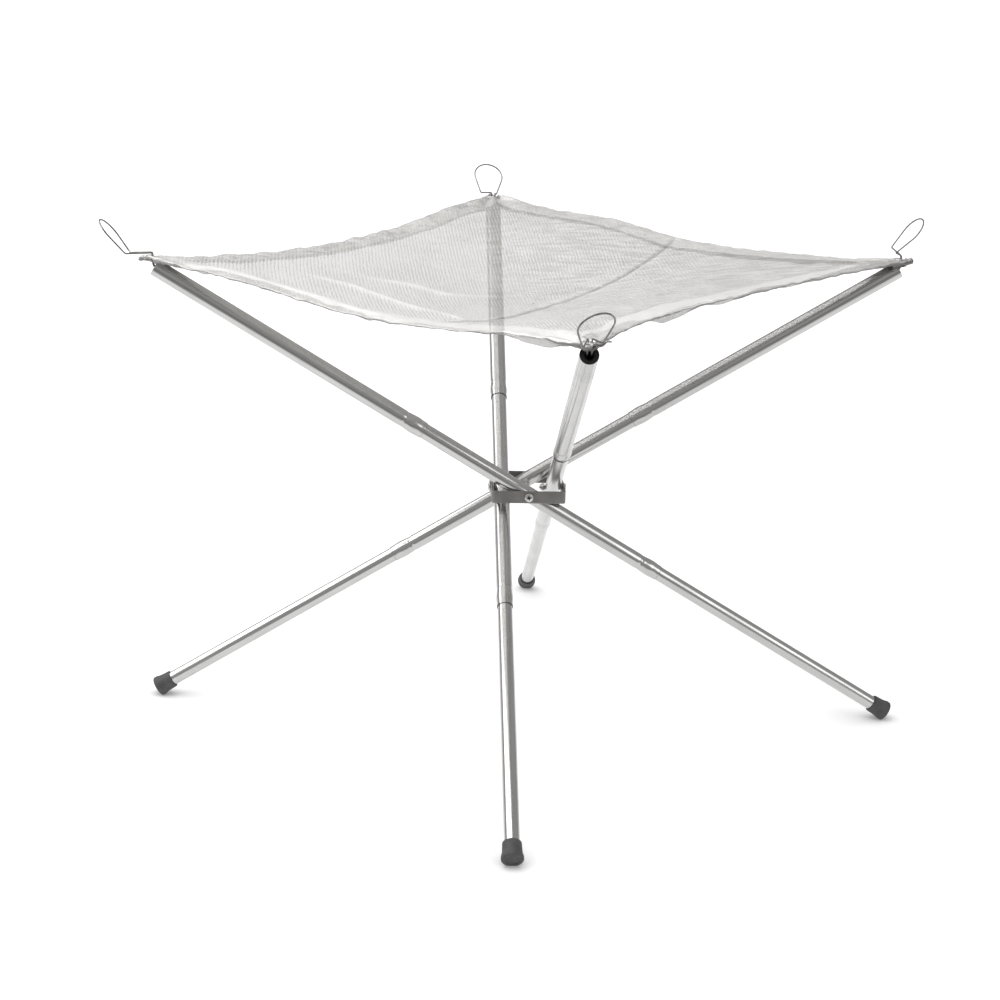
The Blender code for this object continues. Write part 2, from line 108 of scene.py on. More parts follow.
FOOT_LENGTH = 14.5 * MM
FOOT_BASE = 4 * MM
FOOT_RADIUS = 8.1 * MM
PLUG_LENGTH = 12 * MM
PLUG_SOCKET = 2.9 * MM

CORNER_RADIUS = 299 * MM
ABOVE_TIP = 8.6 * MM
EYELET_OUT = 1.2 * MM
HEM = 24 * MM
HEM_FOLD = 0.8 * MM
HEM_BEND = 3 * MM

WIRE_RADIUS = 0.65 * MM
WIRE_BEND = 2.2 * MM
PIN_DEPTH = 8 * MM
PIN_SPREAD = 1.45 * MM
CLIP_BASE_SPREAD = 7 * MM
CLIP_LOOP_RADIUS = 12.4 * MM
CLIP_LOOP_LENGTH = 32 * MM

# Each clip's loop starts this far (out, up, side) from the pole's end, and turns, leans and rolls in degrees.
CLIP_FEET = in_mm((19.8, 10, -0.7), (20.8, 11.3, 0.2), (-5, 15.1, 0.6), (-2.9, 10.6, 4.5))
CLIP_ANGLES = [(-3, 49, 8), (22, 52, 12), (10, 51, 10), (16, 45, 12)]

joints = {joint["name"]: joint for joint in frame["joints"]}
HUB_CENTRE = sum((Vector(joints[f"fold_{letter}"]["pos_m"]) for letter in POLE_NAMES), Vector()) / 4


def placed(origin, x, y, z):
    """The matrix of a place with its three axes."""
    return Matrix.Translation(origin) @ Matrix((x, y, z)).transposed().to_4x4()


def pole_frame(letter):
    """+Z up the pole and +Y out through the hub plate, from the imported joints."""
    pivot = Vector(joints[f"fold_{letter}"]["pos_m"])
    up_pole = Vector(joints[f"telescope_bottom_{letter}"]["axis"]).normalized()
    out_plate = (pivot - HUB_CENTRE).normalized()
    return placed(pivot, out_plate.cross(up_pole), out_plate, up_pole)


def tip_frame(letter):
    """Level frame at a pole's top end: -X outwards, -Y towards the hub plate's side, +Z up."""
    pole = pole_frame(letter)
    up = Vector((0, 0, 1))
    up_pole = pole.to_3x3() @ up
    inwards = -Vector((up_pole.x, up_pole.y, 0)).normalized()
    return placed(pole @ (up * UPPER_LENGTH), inwards, up.cross(inwards), up)


POLES = [pole_frame(letter) for letter in POLE_NAMES]
TIPS = [tip_frame(letter) for letter in POLE_NAMES]
POLE_RISE = math.asin((POLES[0].to_3x3() @ Vector((0, 0, 1))).z)


# -------- node materials

def add_node(tree, kind, **inputs):
    """A node of a kind, with inputs set to values or linked from sockets and fields."""
    node = tree.nodes.new(f"ShaderNode{kind}")
    for name, value in inputs.items():
        feed(tree, node.inputs[name.replace("_", " ")], value)
    return node


def feed(tree, slot, value):
    """Links a field or a socket into a slot, or sets the slot to a plain value."""
    value = value.socket if isinstance(value, Field) else value
    if isinstance(value, bpy.types.NodeSocket):
        tree.links.new(value, slot)
    else:
        slot.default_value = value


class Field:
    """A value in a node tree. Arithmetic on it adds Math nodes."""

    def __init__(self, tree, socket):
        self.tree = tree
        self.socket = socket

    def apply(self, operation, *others):
        node = add_node(self.tree, "Math")
        node.operation = operation
        for slot, value in zip(node.inputs, (self, *others)):
            feed(self.tree, slot, value)
        return Field(self.tree, node.outputs[0])

    __add__ = partialmethod(apply, "ADD")
    __sub__ = partialmethod(apply, "SUBTRACT")
    __mul__ = partialmethod(apply, "MULTIPLY")
    __truediv__ = partialmethod(apply, "DIVIDE")
    below = partialmethod(apply, "LESS_THAN")

    def ramp(self, low, high, out_low, out_high):
        """Maps low..high to out_low..out_high, held at its ends."""
        node = add_node(self.tree, "MapRange", Value=self, From_Min=low, From_Max=high,
                        To_Min=out_low, To_Max=out_high)
        return Field(self.tree, node.outputs[0])


class Material:
    """A Principled material whose inputs are set to values or fields, with one source of coordinates."""

    def __init__(self, name, source="Object", **values):
        self.source = source
        self.data = bpy.data.materials.new(name)
        self.data.use_nodes = True
        self.tree = self.data.node_tree
        self.shader = self.tree.nodes["Principled BSDF"]
        self.bumps = None
        self.set(**values)

    def set(self, **values):
        for name, value in values.items():
            feed(self.tree, self.shader.inputs[name.replace("_", " ").title().replace("Ior", "IOR")], value)

    def field(self, node, output):
        return Field(self.tree, node.outputs[output])

    def place(self, scale, turn=0.0):
        """Coordinates on the piece, turned about Z and then scaled, alike or along each axis."""
        vector = add_node(self.tree, "TexCoord").outputs[self.source]
        scale = scale if isinstance(scale, tuple) else (scale, scale, scale)
        for change in ({"Rotation": (0, 0, turn)}, {"Scale": scale}):
            vector = add_node(self.tree, "Mapping", Vector=vector, **change).outputs[0]
        return vector

    def noise(self, scale, detail=3.0, roughness=0.5, turn=0.0):
        return self.field(add_node(self.tree, "TexNoise", Scale=1.0, Detail=detail, Roughness=roughness,
                                   Vector=self.place(scale, turn)), "Fac")

    def mark(self, name):
        """A value stored on the piece's points under a name."""
        node = add_node(self.tree, "Attribute")
        node.attribute_name = name
        return self.field(node, "Fac")

    def axis(self, scale, name):
        return self.field(add_node(self.tree, "SeparateXYZ", Vector=self.place(scale)), name)

    def colour(self, factor, first, second):
        """A colour that goes from first to second with the factor."""
        node = add_node(self.tree, "Mix")
        node.data_type = "RGBA"
        feed(self.tree, node.inputs[0], factor)
        colour_slots = node.inputs[6:8]
        for slot, value in zip(colour_slots, (first, second)):
            feed(self.tree, slot, value if isinstance(value, Field) else (*value, 1))
        return self.field(node, 2)

    def bump(self, height, distance, strength=1.0):
        """Tilts the surface by a height, on top of the bumps that it has already."""
        node = add_node(self.tree, "Bump", Strength=strength, Distance=distance, Height=height)
        if self.bumps is not None:
            feed(self.tree, node.inputs["Normal"], self.bumps)
        self.bumps = node.outputs["Normal"]
        feed(self.tree, self.shader.inputs["Normal"], self.bumps)


def polished_steel():
    """Drawn stainless tube: long faint draw marks, fine turned polish and a few smudges."""
    steel = Material("polished_steel", metallic=1.0)
    draw = steel.noise((900, 900, 9), detail=2)
    polish = steel.noise((40, 40, 2600), detail=2)
    smudge = steel.noise((55, 55, 28), detail=4)
    dull = smudge.ramp(0.35, 0.7, 0, 1) * 0.5 + draw.ramp(0.3, 0.7, 0, 0.5)
    steel.set(base_color=steel.colour(dull, (0.66, 0.655, 0.645), (0.55, 0.55, 0.545)))
    steel.set(roughness=smudge.ramp(0.3, 0.75, 0.13, 0.26) + draw.ramp(0.35, 0.65, 0, 0.05))
    steel.bump(draw, 0.04 * MM, 0.35)
    steel.bump(polish, 0.02 * MM, 0.25)
    return steel


def hub_steel():
    """Dull tumbled sheet steel, warm grey, paler where its edges are rubbed."""
    steel = Material("hub_steel", metallic=0.75)
    grain = steel.noise(900, detail=2)
    brushed = steel.noise((60, 60, 2200), detail=2)
    patch = steel.noise(70, detail=4)
    tone = steel.colour(patch.ramp(0.35, 0.7, 0, 1), (0.30, 0.286, 0.274), (0.25, 0.239, 0.229))
    wear = edge_wear(steel, HUB_BEVEL * 1.6)
    steel.set(base_color=steel.colour(wear, tone, (0.5, 0.49, 0.48)))
    steel.set(roughness=patch.ramp(0.3, 0.7, 0.5, 0.62) - wear * 0.18)
    steel.bump(grain, 0.05 * MM, 0.4)
    steel.bump(brushed, 0.03 * MM, 0.3)
    return steel


def edge_wear(material, width):
    """1 along convex edges, from how far a bevelled normal turns from the flat one."""
    bevel = add_node(material.tree, "Bevel", Radius=width)
    bevel.samples = 4
    dot = add_node(material.tree, "VectorMath")
    dot.operation = "DOT_PRODUCT"
    flat = add_node(material.tree, "NewGeometry").outputs["Normal"]
    for slot, normal in zip(dot.inputs, (bevel.outputs[0], flat)):
        feed(material.tree, slot, normal)
    return material.field(dot, "Value").ramp(0.9, 1.0, 1.0, 0.0)


def clouded(name, scale, detail, spread, tones, roughness, grain=None, **values):
    """A material that drifts in clouds between two tones and two roughnesses, with a grain if given."""
    material = Material(name, **values)
    cloud = material.noise(scale, detail=detail)
    material.set(base_color=material.colour(cloud.ramp(*spread, 0, 1), *tones))
    material.set(roughness=cloud.ramp(0.3, 0.7, *roughness))
    if grain:
        grain_scale, grain_detail, depth, strength = grain
        material.bump(material.noise(grain_scale, detail=grain_detail), depth, strength)
    return material


# Zinc-plated screws, nuts and washers, a little dulled, with turning marks.
FASTENER_STEEL = clouded("fastener_steel", 420, 4, (0.3, 0.7), ((0.78, 0.775, 0.76), (0.6, 0.6, 0.59)),
                         (0.24, 0.4), grain=((150, 150, 5200), 1, 0.02 * MM, 0.3), metallic=1.0)

# Near-black steel: painted shade in the screws' recess and at the tubes' lips.
PAINTED_SHADE_STEEL = clouded("painted_shade_steel", 900, 3, (0.3, 0.7), ((0.02, 0.02, 0.02), (0.06, 0.058, 0.055)),
                      (0.45, 0.65), metallic=0.4)

# Sprung steel wire of the pull clips: darker, with fine drawing marks.
WIRE_STEEL = clouded("wire_steel", 260, 4, (0.35, 0.65), ((0.30, 0.297, 0.29), (0.19, 0.19, 0.187)),
                     (0.25, 0.42), grain=(2600, 2, 0.02 * MM, 0.4), metallic=1.0)

# Moulded dark grey rubber with a fine matt grain and a little dust.
RUBBER = clouded("rubber", 160, 5, (0.4, 0.75), ((0.095, 0.095, 0.097), (0.15, 0.148, 0.145)),
                 (0.6, 0.8), grain=(1500, 3, 0.05 * MM, 0.6), specular_ior_level=0.4)

# Moulded black plastic with a slight satin grain.
BLACK_PLASTIC = clouded("black_plastic", 300, 3, (0.35, 0.7), ((0.009,) * 3, (0.018,) * 3), (0.4, 0.55),
                        grain=(1200, 2, 0.03 * MM, 0.5), specular_ior_level=0.45)

# The lock nuts' insert ring.
NYLON = clouded("nylon", 500, 3, (0.0, 1.0), ((0.62, 0.6, 0.55), (0.7, 0.69, 0.65)), (0.35, 0.5),
                specular_ior_level=0.5)

UV_METRES = 0.5
THREAD_PITCH = 1 * MM
THREAD_WIDTH = 0.56
TWILL_STEP = 4


def woven_steel():
    """Fine steel cloth in a two-over-two twill: threads with open holes between, and slanting wales."""
    cloth = Material("woven_steel", source="UV", metallic=0.3)
    threads = UV_METRES / THREAD_PITCH
    drift = (cloth.noise(60) - 0.5) * 2.4
    across = cloth.axis(threads, "X") + drift
    along = cloth.axis(threads, "Y") + drift
    warp_off, weft_off = ((line.apply("FRACT") - 0.5).apply("ABSOLUTE") for line in (across, along))
    warp, weft = (off.below(THREAD_WIDTH / 2) for off in (warp_off, weft_off))
    wale = (across.apply("FLOOR") + along.apply("FLOOR")) / TWILL_STEP
    warp_over = wale.apply("FRACT").below(0.49)
    shows_warp = (warp * warp_over).apply("MAXIMUM", warp * (weft * -1.0 + 1.0))
    rounded = warp_off * shows_warp + weft_off * (shows_warp * -1.0 + 1.0)
    streak = cloth.noise(420, detail=2)
    patch = cloth.noise(9, detail=5, roughness=0.6)
    mottle = cloth.noise(34, detail=6, roughness=0.7)
    tint = cloth.noise(210, detail=1)
    rows = cloth.noise((20, 84, 1), detail=2, turn=math.radians(-45))
    # Threads on top are painted pale and threads beneath dark: a painted sheen that shows the twill's wales.
    tone = cloth.colour(warp_over, (0.55, 0.54, 0.52), (1.0, 0.985, 0.955))
    tone = cloth.colour(streak.ramp(0.42, 0.66, 0, 0.5), tone, (0.5, 0.495, 0.48))
    tone = cloth.colour(patch.ramp(0.35, 0.68, 0, 0.4), tone, (0.84, 0.832, 0.81))
    tone = cloth.colour(tint.ramp(0.4, 0.6, 0, 0.12), tone, (0.95, 0.80, 0.84))
    # Painted highlights along the ridges, beside the crease and on the hems.
    tone = cloth.colour(cloth.mark("painted_highlight"), tone, (1.0, 0.99, 0.965))
    # Painted shade, with dirt mottling the hems and darker rows of wires.
    painted_shade_and_dirt = cloth.mark("painted_shade_and_dirt") + cloth.mark("hem") * mottle.ramp(0.5, 0.66, 0, 0.5)
    painted_shade_and_dirt += cloth.mark("rows") * rows.ramp(0.44, 0.56, 0, 0.36)
    tone = cloth.colour(painted_shade_and_dirt.ramp(0, 1, 0, 1), tone, (0.27, 0.264, 0.255))
    spots = add_node(cloth.tree, "TexVoronoi", Scale=1.0, Vector=cloth.place(26))
    speck = cloth.field(spots, "Distance").ramp(0.045, 0.06, 0.85, 0) * cloth.mark("hem")
    cloth.set(base_color=cloth.colour(speck, tone, (0.10, 0.08, 0.07)))
    cloth.set(roughness=warp_over * 0.12 + patch.ramp(0.3, 0.7, 0.36, 0.5))
    cloth.set(alpha=warp.apply("MAXIMUM", weft))
    cloth.bump(rounded.ramp(0, THREAD_WIDTH / 2, 1, 0), 0.12 * MM, 0.6)
    return cloth


# -------- building pieces

def new_object(name, data, matrix=Matrix.Identity(4)):
    """An object in the scene, at its place."""
    obj = bpy.data.objects.new(name, data)
    bpy.context.scene.collection.objects.link(obj)
    obj.matrix_world = matrix
    return obj


def add_piece(name, mesh, material, body, node, matrix=Matrix.Identity(4), sharp=True):
    """A visible piece that stands for a CAD node and rides on its body."""
    piece = new_object(name, mesh, matrix)
    for one in material if isinstance(material, list) else [material]:
        mesh.materials.append(one.data)
    mesh.shade_smooth()
    if sharp:
        mesh.set_sharp_from_angle(angle=math.radians(38))
    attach(piece, body)
    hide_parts(node)
    return piece


def circle(radius, sides):
    """Points (x, y) evenly round a circle."""
    angles = (2 * math.pi * i / sides for i in range(sides))
    return [(radius * math.cos(a), radius * math.sin(a)) for a in angles]


def join(shape, first, last):
    """Faces between two rows of points, either of which may be one point only."""
    faces = []
    sides = max(len(first), len(last))
    for i in range(sides):
        j = (i + 1) % sides
        corners = [row[k % len(row)] for row, k in ((first, i), (first, j), (last, j), (last, i))]
        unique = list(dict.fromkeys(corners))
        if len(unique) > 2:
            faces.append(shape.faces.new(unique))
    return faces


def turned(outline, sides, ring=True):
    """Turns (radius, height) points about Z: a closed section makes a ring, an open one a solid."""
    shape = bmesh.new()
    rows = [[shape.verts.new((x, y, height)) for x, y in (circle(radius, sides) if radius else [(0, 0)])]
            for radius, height in outline]
    for upper, lower in zip(rows, rows[1:] + rows[:1] if ring else rows[1:]):
        join(shape, upper, lower)
    return closed_mesh(shape)


def closed_mesh(shape):
    """Ends a bmesh as a mesh whose faces all point out and none of which is a sliver without area."""
    bmesh.ops.dissolve_degenerate(shape, dist=0.0001 * MM, edges=shape.edges)
    bmesh.ops.recalc_face_normals(shape, faces=shape.faces)
    if shape.calc_volume(signed=True) < 0:
        bmesh.ops.reverse_faces(shape, faces=shape.faces)
    mesh = bpy.data.meshes.new("closed")
    shape.to_mesh(mesh)
    shape.free()
    return mesh


def rotation(degrees, axis):
    """A turn about an axis."""
    return Matrix.Rotation(math.radians(degrees), 4, axis)


def on_screw(pole, along=0.0):
    """The place on a pole's screw at a distance from the pivot, with +Z out of the hub plate."""
    return pole @ Matrix.Translation((0, along, 0)) @ rotation(-90, "X")


def prism(outline, low, high):
    """A solid that carries a closed (x, y) outline from low to high."""
    shape = bmesh.new()
    bottom, top = ([shape.verts.new((x, y, height)) for x, y in outline] for height in (low, high))
    shape.faces.new(bottom[::-1])
    shape.faces.new(top)
    join(shape, bottom, top)
    return closed_mesh(shape)


def finished(mesh, cutters, bevel=0.0):
    """The mesh with each (cutter mesh, place) taken out of it and its edges bevelled."""
    work = new_object("work", mesh)
    tools = [new_object("tool", cutter, place) for cutter, place in cutters]
    for tool in tools:
        cut = work.modifiers.new("cut", "BOOLEAN")
        cut.operation = "DIFFERENCE"
        cut.solver = "EXACT"
        cut.object = tool
    if bevel:
        rounding = work.modifiers.new("bevel", "BEVEL")
        rounding.width = bevel
        rounding.segments = 3
        rounding.limit_method = "ANGLE"
        rounding.angle_limit = math.radians(35)
    bpy.context.view_layer.update()
    graph = bpy.context.evaluated_depsgraph_get()
    result = bpy.data.meshes.new_from_object(work.evaluated_get(graph))
    for one in [work] + tools:
        bpy.data.objects.remove(one, do_unlink=True)
    shape = bmesh.new()
    shape.from_mesh(result)
    return closed_mesh(shape)


def rounded_square(half, corner, segments=8):
    """Points (x, y) of a square with round corners."""
    points = []
    for turn in range(4):
        centre = Matrix.Rotation(math.radians(90 * turn), 2) @ Vector((half - corner, half - corner))
        for i in range(segments + 1):
            angle = math.radians(90 * (turn + i / segments))
            points.append((centre.x + corner * math.cos(angle), centre.y + corner * math.sin(angle)))
    return points


# -------- hub and fasteners

def add_hub(material):
    """The strip bent into a square ring, with its screw holes and softly broken edges."""
    half = HUB_HEIGHT / 2
    outer = prism(rounded_square(HUB_HALF, HUB_CORNER), -half, half)
    inner = prism(rounded_square(HUB_HALF - HUB_WALL, HUB_CORNER - HUB_WALL), -2 * half, 2 * half)
    cutters = [(inner, Matrix.Identity(4))]
    for turn in (0, 90):
        drill = prism(circle(HOLE_RADIUS, DRILL_SIDES), -2 * HUB_HALF, 2 * HUB_HALF)
        cutters.append((drill, rotation(turn, "Z") @ rotation(90, "X")))
    mesh = finished(outer, cutters, bevel=HUB_BEVEL)
    add_piece("hub_look", mesh, material, "hub", "hub_ring", Matrix.Translation(HUB_CENTRE))


def arc(centre, radius, start, end, steps):
    """Points of (radius, height) on a circular arc between two angles in degrees."""
    angles = (math.radians(start + (end - start) * i / steps) for i in range(steps + 1))
    return [(centre[0] + radius * math.cos(a), centre[1] + radius * math.sin(a)) for a in angles]


def head_height(across, top):
    """Height of the screw's domed head at a distance from its axis."""
    rise = math.cos(math.asin(min(across / HEAD_RADIUS, 1)))
    return top - HEAD_DOME * (1 - rise) ** 0.8


def add_screw(letter, pole):
    """Pan head with a cross recess, and a threaded shank."""
    seat = HUB_HALF - POLE_OFFSET + GAP / 2
    top = seat + HEAD_HEIGHT
    end = -SCREW_REACH
    dome = [(HEAD_RADIUS * math.sin(a), top - HEAD_DOME * (1 - math.cos(a)) ** 0.8)
            for a in (math.radians(90) * i / 12 for i in range(12))]
    rim = [(HEAD_RADIUS, seat + 0.75 * MM), (HEAD_RADIUS, seat + 0.2 * MM),
           (HEAD_RADIUS - 0.2 * MM, seat), (SCREW_RADIUS, seat)]
    thread_top, half_turns = 1.5 * MM, 45
    pitch = (thread_top - end - 0.6 * MM) / half_turns
    thread = [(SCREW_RADIUS - THREAD_DEPTH * (i % 2), thread_top - pitch * i) for i in range(half_turns + 1)]
    outline = dome + rim + thread + [(SCREW_RADIUS - 0.45 * MM, end), (0, end)]
    blade = in_mm((-1.85, 0), (-1.2, -1.45), (1.2, -1.45), (1.85, 0), (1.95, 1), (-1.95, 1))
    cutters = []
    for turn in (45, 135):
        place = Matrix.Translation((0, 0, top)) @ rotation(turn, "Z") @ rotation(90, "X")
        cutters.append((prism(blade, -RECESS_HALF_WIDTH, RECESS_HALF_WIDTH), place))
    mesh = finished(turned(outline, SMALL_SIDES, ring=False), cutters)
    # The recess's faces take the near-black steel, as painted shade in the hollow.
    for face in mesh.polygons:
        across = math.hypot(face.center.x, face.center.y)
        below_dome = seat < face.center.z < head_height(across, top) - 0.12 * MM
        face.material_index = 1 if below_dome and across < 2.2 * MM else 0
    add_piece(f"screw_look_{letter}", mesh, [FASTENER_STEEL, PAINTED_SHADE_STEEL], "hub",
              f"pivot_screw_{letter}", on_screw(pole))


def add_washer(letter, pole):
    """Flat ring between the hub plate and the pole."""
    inner = MIDDLE_RADIUS + GAP / 2
    outer = HUB_HALF - HUB_WALL - POLE_OFFSET - GAP / 2
    edge = 0.15 * MM
    outline = [(HOLE_RADIUS, outer), (WASHER_RADIUS - edge, outer), (WASHER_RADIUS, outer - edge),
               (WASHER_RADIUS, inner + edge), (WASHER_RADIUS - edge, inner), (HOLE_RADIUS, inner)]
    add_piece(f"washer_look_{letter}", turned(outline, SMALL_SIDES), FASTENER_STEEL, "hub",
              f"spacer_washer_{letter}", on_screw(pole))


def hexagon_radius(angle):
    """Distance from the nut's axis to its flats at an angle."""
    from_flat = (angle + math.radians(30)) % math.radians(60) - math.radians(30)
    return NUT_ACROSS_FLATS / 2 / math.cos(from_flat)


def add_nut(letter, pole):
    """Hexagon with chamfered corners, and the collar that holds the nylon ring."""
    seat = -MIDDLE_RADIUS - GAP
    full = NUT_ACROSS_FLATS / 2 / math.cos(math.radians(30))
    chamfered, chamfer = full - 0.42 * MM, 0.35 * MM
    bore = SCREW_RADIUS + GAP / 2
    end = -NUT_HEIGHT - COLLAR_HEIGHT
    hexagon = [(chamfered, 0.0), (full, -chamfer), (full, chamfer - NUT_HEIGHT), (chamfered, -NUT_HEIGHT)]
    collar = [(COLLAR_RADIUS, -NUT_HEIGHT), (COLLAR_RADIUS, end + 0.4 * MM),
              (COLLAR_RADIUS - 0.35 * MM, end), (bore + 0.5 * MM, end)]
    ring = [(bore + 0.45 * MM, end + 0.25 * MM), (bore, end + 0.3 * MM), (bore, 0)]
    shape = bmesh.new()
    rows = []
    for widest, height in hexagon + collar + ring:
        radii = [min(hexagon_radius(2 * math.pi * i / NUT_SIDES), widest) for i in range(NUT_SIDES)]
        rows.append([shape.verts.new((radius * x, radius * y, height))
                     for radius, (x, y) in zip(radii, circle(1, NUT_SIDES))])
    nylon_row = len(rows) - len(ring)
    for index, (upper, lower) in enumerate(zip(rows, rows[1:] + rows[:1])):
        for face in join(shape, upper, lower):
            face.material_index = 1 if index == nylon_row else 0
    add_piece(f"nut_look_{letter}", closed_mesh(shape), [FASTENER_STEEL, NYLON], "hub", f"lock_nut_{letter}",
              on_screw(pole, seat))


# -------- poles

def tube_surface(radius, height, top, bottom, crimped, flared):
    """Outer radius of a tube at a height: its crimp and swell above the lip, and its flare at the top."""
    if crimped:
        above = height - bottom
        radius -= CRIMP_DEPTH * math.exp(-((above - CRIMP_ABOVE_LIP) / CRIMP_HALF_WIDTH) ** 2)
        reach = min(abs(above - SWELL_ABOVE_LIP) / SWELL_HALF_WIDTH, 1)
        radius += SWELL_HEIGHT * (0.5 + 0.5 * math.cos(math.pi * reach)) ** 0.6
    if flared:
        radius += FLARE_HEIGHT * max(0.0, 1 - (top - height) / FLARE_LENGTH)
    return radius


def tube_heights(top, bottom, crimped):
    """Heights of the section's points, close together where the surface curves."""
    plain_to = bottom + CRIMP_ABOVE_LIP + 4 * MM if crimped else bottom
    heights = [top - LIP_ROUND * 0.3, top - 1.5 * MM, top - 4.5 * MM]
    heights += [plain_to + (top - plain_to) * share for share in (0.75, 0.5, 0.25)]
    if not crimped:
        return heights + [bottom + 0.1 * MM]
    steps = 40
    last = bottom + LIP_ROUND * 0.4
    return heights + [plain_to - (plain_to - last) * i / steps for i in range(steps + 1)]


def tube_outline(radius, top, bottom, crimped=False, flared=False):
    """A tube's closed section, down its outside and up its bore, with rounded ends."""
    outer = [(tube_surface(radius, height, top, bottom, crimped, flared), height)
             for height in tube_heights(top, bottom, crimped)]
    bore = radius - TUBE_WALL
    section = [(outer[0][0] - 0.12 * MM, top)] + outer
    section += [(outer[-1][0] - 0.1 * MM, bottom), (bore, bottom + 0.05 * MM)]
    if crimped:
        crimp = bottom + CRIMP_ABOVE_LIP
        section += [(bore, crimp - 3 * MM), (bore - 0.1 * MM, crimp), (bore, crimp + 3 * MM)]
    return section + [(bore, top - 0.05 * MM)]


def add_tubes(letter, pole, steel):
    """The three tubes, with painted shade round the lip where one slides over the next."""
    top_painted_shade = FRONT_LIP_PAINTED_SHADE if letter == "b" else LIP_PAINTED_SHADE
    foot = -LOWER_LENGTH - FOOT_LENGTH + FOOT_BASE + GAP
    for node, body, outline, painted_shade_below in (
            ("top_tube", "top", tube_outline(TOP_RADIUS, UPPER_LENGTH, UPPER_LIP, crimped=True),
             UPPER_LIP + top_painted_shade),
            ("middle_tube", "pole", tube_outline(MIDDLE_RADIUS, UPPER_LIP + TUBE_OVERLAP, LOWER_LIP,
                                                 crimped=True, flared=True), LOWER_LIP + LIP_PAINTED_SHADE),
            ("bottom_tube", "bottom", tube_outline(BOTTOM_RADIUS, LOWER_LIP + TUBE_OVERLAP, foot,
                                                   flared=True), -math.inf)):
        mesh = turned(outline, TUBE_SIDES)
        if node == "middle_tube":
            drill = prism(circle(HOLE_RADIUS, DRILL_SIDES), -POLE_OFFSET, POLE_OFFSET)
            mesh = finished(mesh, [(drill, on_screw(Matrix.Identity(4)))])
        # Faces near the lip take the near-black steel, as painted shade.
        for face in mesh.polygons:
            face.material_index = 1 if face.center.z < painted_shade_below else 0
        add_piece(f"{node}_look_{letter}", mesh, [steel, PAINTED_SHADE_STEEL], f"{body}_{letter}", f"{node}_{letter}",
                  pole)


def add_foot(letter, pole):
    """Rubber cap: chamfered mouth, slightly hollow side and a wider round end, pressed flat on the floor."""
    mouth = -LOWER_LENGTH
    end = mouth - FOOT_LENGTH
    bore = BOTTOM_RADIUS + 0.15 * MM
    neck, widening, side_top, side_length = 6.95 * MM, 0.35 * MM, mouth - 1.3 * MM, 7.2 * MM
    edge_round, sole_depth = 1.5 * MM, 0.5 * MM
    inside = [(0, end + FOOT_BASE), (bore, end + FOOT_BASE), (bore, mouth - 0.6 * MM),
              (bore + 0.25 * MM, mouth)]
    rim = [(6.45 * MM, mouth), (6.8 * MM, mouth - 0.35 * MM), (neck, side_top)]
    side = [(neck + widening * (i / 8) ** 1.5, side_top - side_length * i / 8) for i in range(1, 9)]
    skirt = [(7.55 * MM, mouth - 9.6 * MM), (7.9 * MM, mouth - 10.5 * MM), (8.05 * MM, mouth - 11.3 * MM)]
    skirt += arc((FOOT_RADIUS - edge_round, end + edge_round), edge_round, 0, -90, 8)
    sole = [(5.2 * MM, end)] + [(radius * MM, end + sole_depth) for radius in (4.9, 2, 0)]
    mesh = turned(inside + rim + side + skirt + sole, CAP_SIDES, ring=False)
    press_on_floor(mesh, pole)
    add_piece(f"foot_look_{letter}", mesh, RUBBER, f"bottom_{letter}", f"foot_cap_{letter}",
              pole)


def press_on_floor(mesh, pole):
    """Presses what would reach below the floor flat against it."""
    back = pole.inverted()
    for vertex in mesh.vertices:
        point = pole @ vertex.co
        if point.z < 0:
            vertex.co = back @ Vector((point.x, point.y, 0))


def add_plug(letter, pole):
    """Plastic plug in the top tube's end, with the socket for the clip's pins."""
    outer = TOP_RADIUS - TUBE_WALL - 0.12 * MM
    top = UPPER_LENGTH - 0.3 * MM
    bottom = top - PLUG_LENGTH
    outline = [(outer - 0.3 * MM, top), (outer, top - 0.3 * MM), (outer, bottom + 1 * MM),
               (outer - 0.6 * MM, bottom), (PLUG_SOCKET + 0.3 * MM, bottom), (PLUG_SOCKET, bottom + 0.3 * MM),
               (PLUG_SOCKET, top - 1 * MM), (PLUG_SOCKET + 0.5 * MM, top - 0.45 * MM),
               (PLUG_SOCKET + 0.9 * MM, top - 0.35 * MM), (PLUG_SOCKET + 1.3 * MM, top)]
    add_piece(f"plug_look_{letter}", turned(outline, CAP_SIDES), BLACK_PLASTIC, f"top_{letter}",
              f"end_plug_{letter}", pole)


# -------- pull clips

def place_on_clip(index, across, along):
    """From a point in the plane of the clip's loop to (out, up, side) from the pole's top end."""
    foot_out, foot_up, foot_side = CLIP_FEET[index]
    turn, lean, roll = (math.radians(angle) for angle in CLIP_ANGLES[index])
    rolled_across = across * math.cos(roll) - along * math.sin(roll)
    rolled_along = across * math.sin(roll) + along * math.cos(roll)
    out = rolled_along * math.cos(lean)
    return (foot_out + out * math.cos(turn) - rolled_across * math.sin(turn),
            foot_up + rolled_along * math.sin(lean),
            foot_side + out * math.sin(turn) + rolled_across * math.cos(turn))


